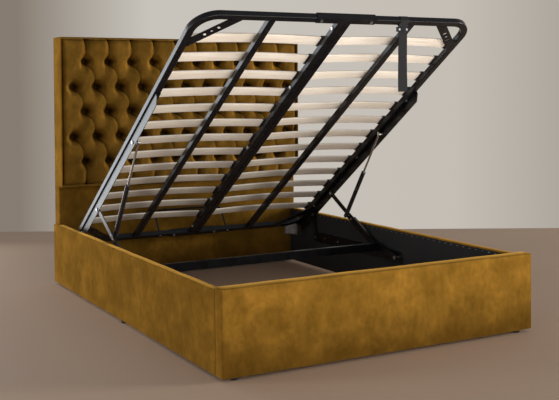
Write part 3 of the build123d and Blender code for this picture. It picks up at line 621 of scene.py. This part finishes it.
def beside(x, z, start, end, bow):
    """Share of the way along a bowed crease, and the distance from it, positive on its left."""
    run = math.dist(start, end)
    ux, uz = (end[0] - start[0]) / run, (end[1] - start[1]) / run
    share = ((x - start[0]) * ux + (z - start[1]) * uz) / run
    inside = np.clip(share, 0, 1)
    offset = -(x - start[0]) * uz + (z - start[1]) * ux - bow * np.sin(math.pi * inside)
    return inside, offset, (share - inside) * run


def swelling(share):
    """A rounded rise from 0 to 1."""
    return (1 - (1 - share) ** 2) ** 0.75


def sharp_fold(x, z, start, end, bow):
    """Height from 0 to 1 beside a fold: full on its right at once, rising slowly on its left."""
    inside, offset, beyond = beside(x, z, start, end, bow)
    distance = np.hypot(offset, beyond)
    right = 1 - np.exp(-distance / fold_lip)
    left = swelling(np.clip(distance / fold_reach, 0, 1))
    height = np.where(offset < 0, right, left)
    floor = fold_level * np.sin(math.pi * inside)
    return floor + (1 - floor) * height


def soft_valley(x, z, start, end, level):
    """Height from 0 to 1 beside a shallow valley that is deepest at its ends."""
    inside, offset, beyond = beside(x, z, start, end, 0.0)
    distance = np.clip(np.hypot(offset, beyond) / valley_reach, 0, 1)
    height = distance * distance * (3 - 2 * distance)
    floor = level * np.sin(math.pi * inside) ** 0.7
    return floor + (1 - floor) * height


def edge_distance(x, z):
    """Distance from the pad's nearest edge."""
    return np.minimum(np.minimum(x - pad_low.x, pad_high.x - x),
                      np.minimum(z - pad_low.z, pad_high.z - z))


def tuft_relief(x, z):
    """Height of the pad's front, from 0 at a button to 1 on a crown."""
    relief = np.ones_like(x)
    for low, high in neighbours:
        if high[0] < low[0]:
            relief *= sharp_fold(x, z, high, low, crease_bow)
        else:
            relief *= soft_valley(x, z, low, high, valley_level)
    for place in button_rows[0]:
        relief *= sharp_fold(x, z, place, (place[0], pad_low.z), pleat_bow)
    for place in button_rows[-1]:
        relief *= sharp_fold(x, z, (place[0], pad_high.z), place, pleat_bow)
    for row in range(1, tuft_rows, 2):
        for place, edge in ((button_rows[row][0], pad_low.x), (button_rows[row][-1], pad_high.x)):
            relief *= soft_valley(x, z, place, (edge, place[1]), side_valley_level)
    for place in buttons:
        distance = np.hypot(x - place[0], z - place[1])
        angle = np.arctan2(z - place[1], x - place[0])
        radius = dimple_radius * (1 + dimple_widening * np.cos(angle - dimple_turn))
        relief *= swelling(np.clip((distance - dimple_bottom) / (radius - dimple_bottom), 0, 1))
        rim = np.exp(-((distance - rim_pleat_radius) / rim_pleat_reach) ** 2)
        pleats = np.sin(rim_pleats * angle + rim_pleat_shift * place[0]) * rim
        relief *= 1 - rim_pleat_depth * pleats
    reach = np.clip(edge_distance(x, z) / edge_reach, 0, 1)
    return relief * (1 - (1 - reach) ** edge_fullness) ** 0.5


def from_spot(across, up, place, size):
    """Distance from an oval's middle, as a share of its size."""
    return np.hypot((across - place[0]) / size[0], (up - place[1]) / size[1])


def pile_lie(x, z, relief):
    """Painted light and shade for the velvet's colour, from 0 for the deepest painted shade through the unshaded
    level to 1 for the brightest painted highlight.
    """
    # Painted shade deepens where the relief sinks towards the buttons.
    painted_light = unshaded_level - hollow_painted_shade * np.clip(0.5 - relief, 0, 0.5)
    # A thin line of painted shade along each fold that runs down to the right, weaker at its middle.
    for low, high in neighbours:
        if high[0] < low[0]:
            inside, offset, beyond = beside(x, z, high, low, crease_bow)
            near = np.exp(-(np.hypot(offset, beyond) / crease_shade_width) ** 2)
            painted_light -= crease_painted_shade * near * (1 - 0.4 * np.sin(math.pi * inside))
    for place in buttons:
        across, up = x - place[0], z - place[1]
        # Painted shade to the right of each button, and a painted highlight on the rim to its lower left.
        painted_light -= button_side_painted_shade * np.exp(-from_spot(across, up, shade_place, shade_size) ** 3)
        painted_light += rim_painted_highlight * np.exp(-from_spot(across, up, rim_highlight_place, rim_highlight_size) ** 2)
    # Painted shade along the pad's edges, where it meets the border.
    painted_light -= edge_painted_shade * np.exp(-(edge_distance(x, z) / edge_shade_width) ** 2)
    for row, side in ((0, -1), (-1, 1)):
        for place in button_rows[row]:
            across = x - place[0]
            beyond = np.clip(side * (z - place[1]) / pleat_start, 0, 1)
            light = np.exp(-((across - pleat_light_place) / pleat_light_width) ** 2)
            dark = np.exp(-((across - pleat_dark_place) / pleat_dark_width) ** 2)
            # A painted highlight on the left of each top and bottom pleat, and painted shade on its line.
            painted_light += pleat_painted_highlight * beyond * light
            painted_light -= pleat_painted_shade * beyond * dark
    return np.clip(painted_light, 0, 1)


bpy.ops.object.select_all(action="DESELECT")
bpy.ops.mesh.primitive_grid_add(
    x_subdivisions=cells_across, y_subdivisions=cells_up, size=1,
    location=(0, pad_high.y, (pad_low.z + pad_high.z) / 2), rotation=(math.pi / 2, 0, 0),
)
pad = bpy.context.active_object
pad.name = "tufted_pad"
pad.scale = (pad_high.x - pad_low.x, pad_high.z - pad_low.z, 1)
settle(pad)
pick_all(pad)
extrude(y=pad_floor - pad_high.y)
close_edit()
pick(pad, "EDGE", across_at(1, pad_high.y))
bpy.ops.mesh.edge_face_add()
close_edit()
pad_back_reach = 0.001
points = mesh_points(pad)
front = points[:, 1] < pad_high.y - pad_back_reach
relief = tuft_relief(points[front, 0], points[front, 2])
points[front, 1] = pad_floor - (pad_floor - pad_crown) * relief
pad.data.vertices.foreach_set("co", points.ravel())
pad.data.update()
pick(pad, "VERT", lambda points: points[0].y < pad_high.y - pad_back_reach)
bpy.ops.mesh.vertices_smooth(factor=0.4, repeat=1, xaxis=False, zaxis=False)
close_edit()
turn_out(pad)
points = mesh_points(pad)
height = (pad_floor - points[:, 1]) / (pad_floor - pad_crown)
set_painted_shading(pad, pile_lie(points[:, 0], points[:, 2], np.clip(height, 0, 1)))
complete(pad, tufted_velvet_painted_shading, "base", ["headboard_pad"], crease=70)

# Covered buttons: a flattened ball of velvet at the bottom of each hollow, its colour darkened by painted shade
button_radius = 0.0095
button_flatness = 0.48
button_y = pad_floor - 0.003
bpy.ops.object.select_all(action="DESELECT")
bpy.ops.mesh.primitive_uv_sphere_add(segments=20, ring_count=12, radius=button_radius)
button = bpy.context.active_object
button.rotation_euler = (math.pi / 2, 0, 0)
settle(button)
pick(button, "VERT", lambda points: True)
bpy.ops.transform.resize(value=(1, button_flatness, 1))
close_edit()
button_places = [Matrix.Translation((x, button_y, z)) for x, z in buttons]
button_set = repeated(button, button_places, "covered_buttons")
# The buttons get one low level, so their colour carries painted shade as if in the hollow's shadow.
set_painted_shading(button_set, np.full(len(button_set.data.vertices), button_painted_shade))
complete(button_set, tufted_velvet_painted_shading, "base", ["headboard_buttons"])

# The border round the pad: a padded band, open at front and back
band = 0.005
band_round = 0.0018
band_ripple = 0.0006
long_edge = 0.5
border = brick("border_band", border_low, border_high)
delete_faces(border, across_at(1, border_low.y))
delete_faces(border, across_at(1, border_high.y))
thicken(border, band)
soften(border, band_round)
divide(border, 0, 40, long_edge)
divide(border, 2, 24, long_edge)
ripple(border, band_ripple, 0.13, 3.0)
complete(border, velvet, "base", ["headboard_border"])

# The piping along the border's front edge
piping_radius = 0.0025
piping_corner = 0.005
piping_low = border_low.z + band / 2
piping_high = border_high.z - band / 2
piping_side = border_high.x - band / 2
piping = upright_plane("corded_edge", 2 * piping_side, piping_high - piping_low,
                       (0, border_low.y - piping_radius, (piping_low + piping_high) / 2))
pick_all(piping)
bpy.ops.mesh.bevel(affect="VERTICES", offset=piping_corner, segments=6)
bpy.ops.mesh.select_all(action="SELECT")
bpy.ops.mesh.delete(type="ONLY_FACE")
close_edit()
bpy.ops.object.convert(target="CURVE")
piping.data.bevel_depth = piping_radius
piping.data.bevel_resolution = 4
bpy.ops.object.convert(target="MESH")
piping = bpy.context.active_object
turn_out(piping)
complete(piping, velvet, "base", ["headboard_piping"])

# Velvet over foam: a cover is a rounded skin that leaves its board open where cloth isn't seen
cover_wall = 0.003
cover_round = 0.0055
lower_round = 0.006
cover_levels = (0.08, 0.15, 0.22)


def cut_levels(piece):
    for height in cover_levels:
        bisect(piece, (0, 0, height), (0, 0, 1))


def wrap(piece, rounding, wander, size, seed, node):
    """Rounds a cover's edges, lets its cloth wander and gives it its thickness."""
    soften(piece, rounding, segments=4)
    ripple(piece, wander, size, seed)
    thicken(piece, cover_wall)
    complete(piece, velvet, "base", [node])


# The plain panel below the pad
lower = brick("lower_panel", lower_low, lower_high)
delete_faces(lower, across_at(1, lower_high.y))
divide(lower, 0, 36)
divide(lower, 2, 12)
wrap(lower, lower_round, 0.0012, 0.16, 8.0, "headboard_lower_cover")

# Rail covers, which run on beside the headboard to its back
for side, sign in (("left", -1), ("right", 1)):
    low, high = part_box(f"side_rail_cover_{side}")
    inner = low.x if sign > 0 else high.x
    cover = brick(f"rail_cover_{side}", low, high)
    bisect(cover, (0, 0, lining_top), (0, 0, 1))
    delete_faces(cover, lambda points: across_at(0, inner)(points) and all(
        point.z < lining_top + touching for point in points))
    divide(cover, 1, 48)
    cut_levels(cover)
    bisect(cover, (sign * lower_high.x, 0, 0), (1, 0, 0))
    pick(cover, "FACE", lambda points: across_at(1, high.y)(points) and all(
        sign * point.x > lower_high.x - touching for point in points))
    extrude(y=lower_high.y - high.y)
    close_edit()
    wrap(cover, cover_round, 0.0013, 0.17, 5.0 + sign, f"side_rail_cover_{side}")

# The footboard's cover
footboard = brick("footboard_cover_velvet", foot_low, foot_high)
bisect(footboard, (foot_lining_low.x, 0, 0), (1, 0, 0))
bisect(footboard, (foot_lining_high.x, 0, 0), (1, 0, 0))
bisect(footboard, (0, 0, foot_lining_high.z), (0, 0, 1))
delete_faces(footboard, lambda points: across_at(1, foot_high.y)(points) and all(
    point.z < foot_lining_high.z + touching and abs(point.x) < foot_lining_high.x + touching
    for point in points))
divide(footboard, 0, 40, long_edge)
cut_levels(footboard)
wrap(footboard, cover_round, 0.0014, 0.18, 11.0, "footboard_cover")


# Felt linings, stapled along their top edge

lining_slack = 0.0009
lining_slack_size = 0.11
lining_held_reach = 0.1
staple_half = 0.0062
staple_wire = 0.0011
staple_height = 0.0009
staple_round = 0.0003
staple_drop = 0.008
staple_margin = 0.02


def lining_sheet(name, node, low, high, axis, seed):
    """A thin felt that fills a lining's place, thin along the given axis."""
    sheet = brick(name, low, high)
    long_axis = 1 - axis
    divide(sheet, long_axis, 60)
    divide(sheet, 2, 10)
    face = low[axis] if axis == 0 and low.x > 0 else high[axis]
    for vertex in sheet.data.vertices:
        if abs(vertex.co[axis] - face) < touching:
            free = min(vertex.co.z - low.z, high.z - vertex.co.z) / lining_held_reach
            free = min(1.0, max(0.0, free))
            place = vertex.co / lining_slack_size + Vector((seed, 0, 0))
            vertex.co[axis] += lining_slack * free * noise.noise(place)
    complete(sheet, lining_felt, "base", [node])


def staple_row(name, start, end, count, normal):
    """Wire staples pressed flat along a line; normal is the side they lie on."""
    start, end = Vector(start), Vector(end)
    run = (end - start).normalized()
    staple = brick(name, (-staple_half, -staple_wire / 2, 0),
                   (staple_half, staple_wire / 2, staple_height))
    soften(staple, staple_round, segments=2)
    out = Vector(normal)
    up = out.cross(run)
    turn = Matrix((run, up, out)).transposed().to_4x4()
    places = [Matrix.Translation(start.lerp(end, (i + 0.5) / count)) @ turn for i in range(count)]
    complete(repeated(staple, places, name), zinc, "base")


for side, sign in (("left", -1), ("right", 1)):
    node = f"side_rail_lining_{side}"
    low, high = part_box(node)
    lining_sheet(f"rail_lining_{side}", node, low, high, 0, 2.0 * sign)
    face = low.x if sign > 0 else high.x
    line = high.z - staple_drop
    staple_row(f"rail_staples_{side}", (face, low.y + staple_margin, line),
               (face, high.y - staple_margin, line), 44, (-sign, 0, 0))
lining_sheet("footboard_lining_felt", "footboard_lining", foot_lining_low, foot_lining_high, 1, 6.0)
line = foot_lining_high.z - staple_drop
staple_row("footboard_staples",
           (foot_lining_low.x + staple_margin, foot_lining_high.y, line),
           (foot_lining_high.x - staple_margin, foot_lining_high.y, line), 32, (0, 1, 0))

# The velvet's turnings on the headboard's back, under the back cloth
turning_width = 0.035
turning_thickness = 0.001
turnings = upright_plane("back_turnings", border_high.x - border_low.x,
                         border_high.z - lower_low.z,
                         (0, cloth_low.y, (lower_low.z + border_high.z) / 2))
pick(turnings, "FACE", lambda points: True)
bpy.ops.mesh.inset(thickness=turning_width)
bpy.ops.mesh.delete(type="FACE")
close_edit()
thicken(turnings, turning_thickness)
turn_out(turnings)
complete(turnings, velvet, "base")

# The thin cloth that closes the headboard's back, slightly slack inside its held edge
cloth_slack = 0.0008
cloth_slack_size = 0.16
cloth_held_reach = 0.08
back = brick("back_cloth_sheet", cloth_low, cloth_high)
divide(back, 0, 40)
divide(back, 2, 36)
for vertex in back.data.vertices:
    if abs(vertex.co.y - cloth_high.y) < touching:
        inset = min(vertex.co.x - cloth_low.x, cloth_high.x - vertex.co.x,
                    vertex.co.z - cloth_low.z, cloth_high.z - vertex.co.z)
        free = min(1.0, inset / cloth_held_reach)
        sway = 0.5 + noise.noise(vertex.co / cloth_slack_size)
        vertex.co.y -= cloth_slack * free * sway
complete(back, back_weave, "base", ["headboard_back_cloth"])


# Sprung slats: a bowed strip of veneer with rounded edges

slat_width = 0.055
slat_thickness = 0.008
slat_low = 0.0275
slat_bow = 0.009
slat_round = 0.0024
slat_start = 0.0175
slat_end = 0.658
first_slat = 0.189
last_slat = 1.711
slat_count = 13
slat_stations = [first_slat + (last_slat - first_slat) * i / (slat_count - 1)
                 for i in range(slat_count)]
slat_middle = (slat_start + slat_end) / 2
slat_half = (slat_end - slat_start) / 2
for side, sign in (("left", -1), ("right", 1)):
    slat = brick("slat", (-slat_half, -slat_width / 2, slat_low),
                 (slat_half, slat_width / 2, slat_low + slat_thickness))
    divide(slat, 0, 19)
    for vertex in slat.data.vertices:
        vertex.co.z += slat_bow * (1 - (vertex.co.x / slat_half) ** 2)
    soften(slat, slat_round, segments=3, angle=50)
    places = [deck @ Matrix.Translation((sign * slat_middle, station, 0))
              for station in slat_stations]
    slats = repeated(slat, places, f"sprung_slats_{side}")
    complete(slats, slat_wood, "lift_deck", [f"slats_{side}"])

# Slat caps: a moulded pocket with a raised panel on its top
cap_length = 0.023
cap_width = 0.061
cap_low = 0.025
cap_high = 0.0373
cap_back = 0.004
cap_lip = 0.0028
cap_top_round = 0.003
cap_edge_round = 0.0008
cap_panel_margin = 0.004
cap_panel_height = 0.0012
cap_middle = (cap_low + cap_high) / 2
for side, sign in (("left", -1), ("right", 1)):
    cap = brick("cap", (-cap_length / 2, -cap_width / 2, cap_low),
                (cap_length / 2, cap_width / 2, cap_high))
    pick(cap, "EDGE", lambda points: along(0)(points) and points[0].z > cap_middle)
    bpy.ops.mesh.bevel(offset=cap_top_round, segments=3)
    close_edit()
    pick(cap, "FACE", across_at(0, cap_length / 2))
    bpy.ops.mesh.inset(thickness=cap_lip)
    extrude(x=cap_back - cap_length)
    close_edit()
    pick(cap, "FACE", across_at(2, cap_high))
    bpy.ops.mesh.inset(thickness=cap_panel_margin)
    extrude(z=cap_panel_height)
    close_edit()
    soften(cap, cap_edge_round, segments=2)
    places = []
    for station in slat_stations:
        for x, turn in ((slat_start - cap_back + cap_length / 2, 0),
                        (slat_end + cap_back - cap_length / 2, math.pi)):
            place = Matrix.Translation((sign * x, station, 0))
            flip = Matrix.Rotation(turn if sign > 0 else math.pi - turn, 4, "Z")
            places.append(deck @ place @ flip)
    caps = repeated(cap, places, f"slat_holders_{side}")
    complete(caps, plastic, "lift_deck", [f"slat_caps_{side}"])


# The pull strap: a loop of webbing round the foot tube, with a doubled tail


def ribbon(name, path, middle, width, thickness):
    """A strip of webbing whose width lies across the bed, along a path of Y and Z."""
    bpy.ops.object.select_all(action="DESELECT")
    bpy.ops.mesh.primitive_plane_add(size=1)
    piece = bpy.context.active_object
    piece.name = name
    for vertex in piece.data.vertices:
        y, z = path[0] if vertex.co.y < 0 else path[1]
        vertex.co = (middle + math.copysign(width / 2, vertex.co.x), y, z)
    for before, after in zip(path[1:], path[2:]):
        pick(piece, "EDGE", lambda points: all(
            math.dist(point[1:], before) < touching for point in points))
        extrude(y=after[0] - before[0], z=after[1] - before[1])
        close_edit()
    thicken(piece, thickness, offset=0)
    return piece


def deck_yz(station, height):
    """Y and Z of a place on the raised deck."""
    place = deck @ Vector((0, station, height))
    return (place.y, place.z)


strap_middle = 0.288
strap_width = 0.043
strap_thickness = 0.0018
strap_drop = 0.285
strap_hug = 0.0014
strap_corner = 0.003
tail_y, tail_z = deck_yz(0.0275, -0.00125)
tail_layer = 0.0012
tail_steps = 9
tail_foot = 0.004
tail_shortening = 0.012
tail_sway = 0.0016
tail_wave = 5.2
tail_flare = 0.07
tail_flare_height = 0.11


def tail_point(share, aside):
    """A point of the tail; the share runs from its lower end to the tube."""
    sway = tail_sway * math.sin(tail_wave * share) * share
    rise = tail_foot + share * (strap_drop - tail_shortening)
    return (tail_y + aside + sway, tail_z - strap_drop + rise)


strap_path = [tail_point(i / tail_steps, -tail_layer) for i in range(tail_steps + 1)]
strap_path += [deck_yz(station, height) for station, height in (
    (0.02, -strap_hug),
    (strap_corner, -strap_hug),
    (-strap_hug, strap_corner),
    (-strap_hug, tube_height - strap_corner),
    (strap_corner, tube_height + strap_hug),
    (tube_width - strap_corner, tube_height + strap_hug),
    (tube_width + strap_hug, tube_height - strap_corner),
    (tube_width + strap_hug, 2 * strap_corner),
)]
strap_path += [tail_point(1 - i / tail_steps, tail_layer) for i in range(tail_steps + 1)]
strap = ribbon("pull_strap_webbing", strap_path, strap_middle, strap_width, strap_thickness)
strap_bottom = tail_z - strap_drop
for vertex in strap.data.vertices:
    low_share = max(0.0, 1 - (vertex.co.z - strap_bottom) / tail_flare_height)
    flare = 1 + tail_flare * low_share ** 0.5
    vertex.co.x = strap_middle + (vertex.co.x - strap_middle) * flare
complete(strap, webbing, "lift_deck", ["pull_strap"])


# Floor, wall, lamps and background

floor_colour = (0.56, 0.4, 0.285)
floor_size = 60
wall_distance = 7.07
wall_size = 12
wall_half_view = 2.1
world_colour = (0.9, 0.93, 1.0)
world_strength = 0.26
view_direction = Vector((math.sin(math.radians(camera_yaw)), math.cos(math.radians(camera_yaw)), 0))
view_right = Vector((view_direction.y, -view_direction.x, 0))


def before_camera(distance, aside, height):
    """A place at a distance before the camera, to its right, and above the floor."""
    spot = Vector(camera_place) + distance * view_direction + aside * view_right
    return (spot.x, spot.y, height)


bpy.ops.object.select_all(action="DESELECT")
bpy.ops.mesh.primitive_plane_add(size=floor_size, location=(0, 0, 0))
floor = bpy.context.active_object
floor.name = "studio_floor"
floor.data.materials.append(new_material("pale_floor", floor_colour, 0.7, specular=0.2))


def make_backdrop():
    """A pale glowing wall for the camera and for reflections only, and clear from behind; its glow is painted
    light, dim at its left end, bright across the middle and dimmer at its right end.
    """
    backdrop = bpy.data.materials.new("pale_wall")
    backdrop.use_nodes = True
    tree = backdrop.node_tree
    tree.nodes.remove(tree.nodes["Principled BSDF"])
    glow = tree.nodes.new("ShaderNodeEmission")
    clear = tree.nodes.new("ShaderNodeBsdfTransparent")
    ray = tree.nodes.new("ShaderNodeLightPath")
    seen = tree.nodes.new("ShaderNodeMath")
    seen.operation = "MAXIMUM"
    side = tree.nodes.new("ShaderNodeNewGeometry")
    ahead = tree.nodes.new("ShaderNodeMath")
    ahead.operation = "SUBTRACT"
    ahead.use_clamp = True
    choice = tree.nodes.new("ShaderNodeMixShader")
    place = tree.nodes.new("ShaderNodeTexCoord")
    parts = tree.nodes.new("ShaderNodeSeparateXYZ")
    spread = tree.nodes.new("ShaderNodeMapRange")
    spread.inputs["From Min"].default_value = -wall_half_view
    spread.inputs["From Max"].default_value = wall_half_view
    tree.links.new(place.outputs["Object"], parts.inputs["Vector"])
    tree.links.new(parts.outputs["X"], spread.inputs["Value"])
    # Painted light across the wall: darkest at its left end, brightest left of the middle, dimmer towards its
    # right end.
    painted_wall_light = add_ramp(backdrop, spread.outputs["Result"],
                     [(0.05, (0.24, 0.2, 0.165)), (0.28, (0.58, 0.55, 0.5)),
                      (0.8, (0.55, 0.51, 0.46)), (1.0, (0.41, 0.375, 0.33))])
    tree.links.new(painted_wall_light, glow.inputs["Color"])
    tree.links.new(ray.outputs["Is Camera Ray"], seen.inputs[0])
    tree.links.new(ray.outputs["Is Glossy Ray"], seen.inputs[1])
    tree.links.new(seen.outputs["Value"], ahead.inputs[0])
    tree.links.new(side.outputs["Backfacing"], ahead.inputs[1])
    tree.links.new(ahead.outputs["Value"], choice.inputs["Fac"])
    tree.links.new(clear.outputs["BSDF"], choice.inputs[1])
    tree.links.new(glow.outputs["Emission"], choice.inputs[2])
    tree.links.new(choice.outputs["Shader"], tree.nodes["Material Output"].inputs["Surface"])
    return backdrop


bpy.ops.object.select_all(action="DESELECT")
bpy.ops.mesh.primitive_plane_add(size=wall_size)
wall = bpy.context.active_object
wall.name = "studio_wall"
wall.location = before_camera(wall_distance, 0, wall_size / 2)
wall.rotation_euler = (math.pi / 2, 0, -math.radians(camera_yaw))
wall.data.materials.append(make_backdrop())

world = bpy.data.worlds.new("studio")
bpy.context.scene.world = world
world.use_nodes = True
world_light = world.node_tree.nodes["Background"]
world_light.inputs["Color"].default_value = (*world_colour, 1)
world_light.inputs["Strength"].default_value = world_strength


def lamp(name, place, target, size, power, colour):
    """A soft rectangular lamp that the camera doesn't see."""
    data = bpy.data.lights.new(name, "AREA")
    data.shape = "RECTANGLE"
    data.size, data.size_y = size
    data.energy = power
    data.color = colour
    thing = bpy.data.objects.new(name, data)
    thing.visible_camera = False
    bpy.context.scene.collection.objects.link(thing)
    aim = (Vector(target) - Vector(place)).to_track_quat("-Z", "Y")
    thing.matrix_world = Matrix.Translation(place) @ aim.to_matrix().to_4x4()


lamp("key", (7.2, -4.2, 1.5), (0, 0, 0.7), (2.4, 2.1), 450, (1.0, 0.97, 0.93))
lamp("front", (-0.9, -6.2, 1.0), (0, 0.9, 0.35), (2.0, 1.4), 28, (1.0, 0.98, 0.96))
lamp("fill", (-5.4, -4.3, 1.1), (-0.5, 0, 0.4), (2.4, 1.8), 32, (1.0, 0.97, 0.94))
lamp("side", (-7.2, 2.0, 1.1), (-0.7, 0, 0.3), (2.0, 1.6), 215, (1.0, 0.98, 0.96))
lamp("floor_bounce", (0.6, -2.3, 0.03), (0.6, -2.3, 2.6), (3.0, 1.8), 76, (1.0, 0.96, 0.93))
lamp("window", before_camera(6.6, -4.1, 1.2), before_camera(3.0, -4.1, 1.2), (3.6, 2.4), 90,
     (0.88, 0.94, 1.0))

bpy.context.scene.view_settings.view_transform = "Standard"
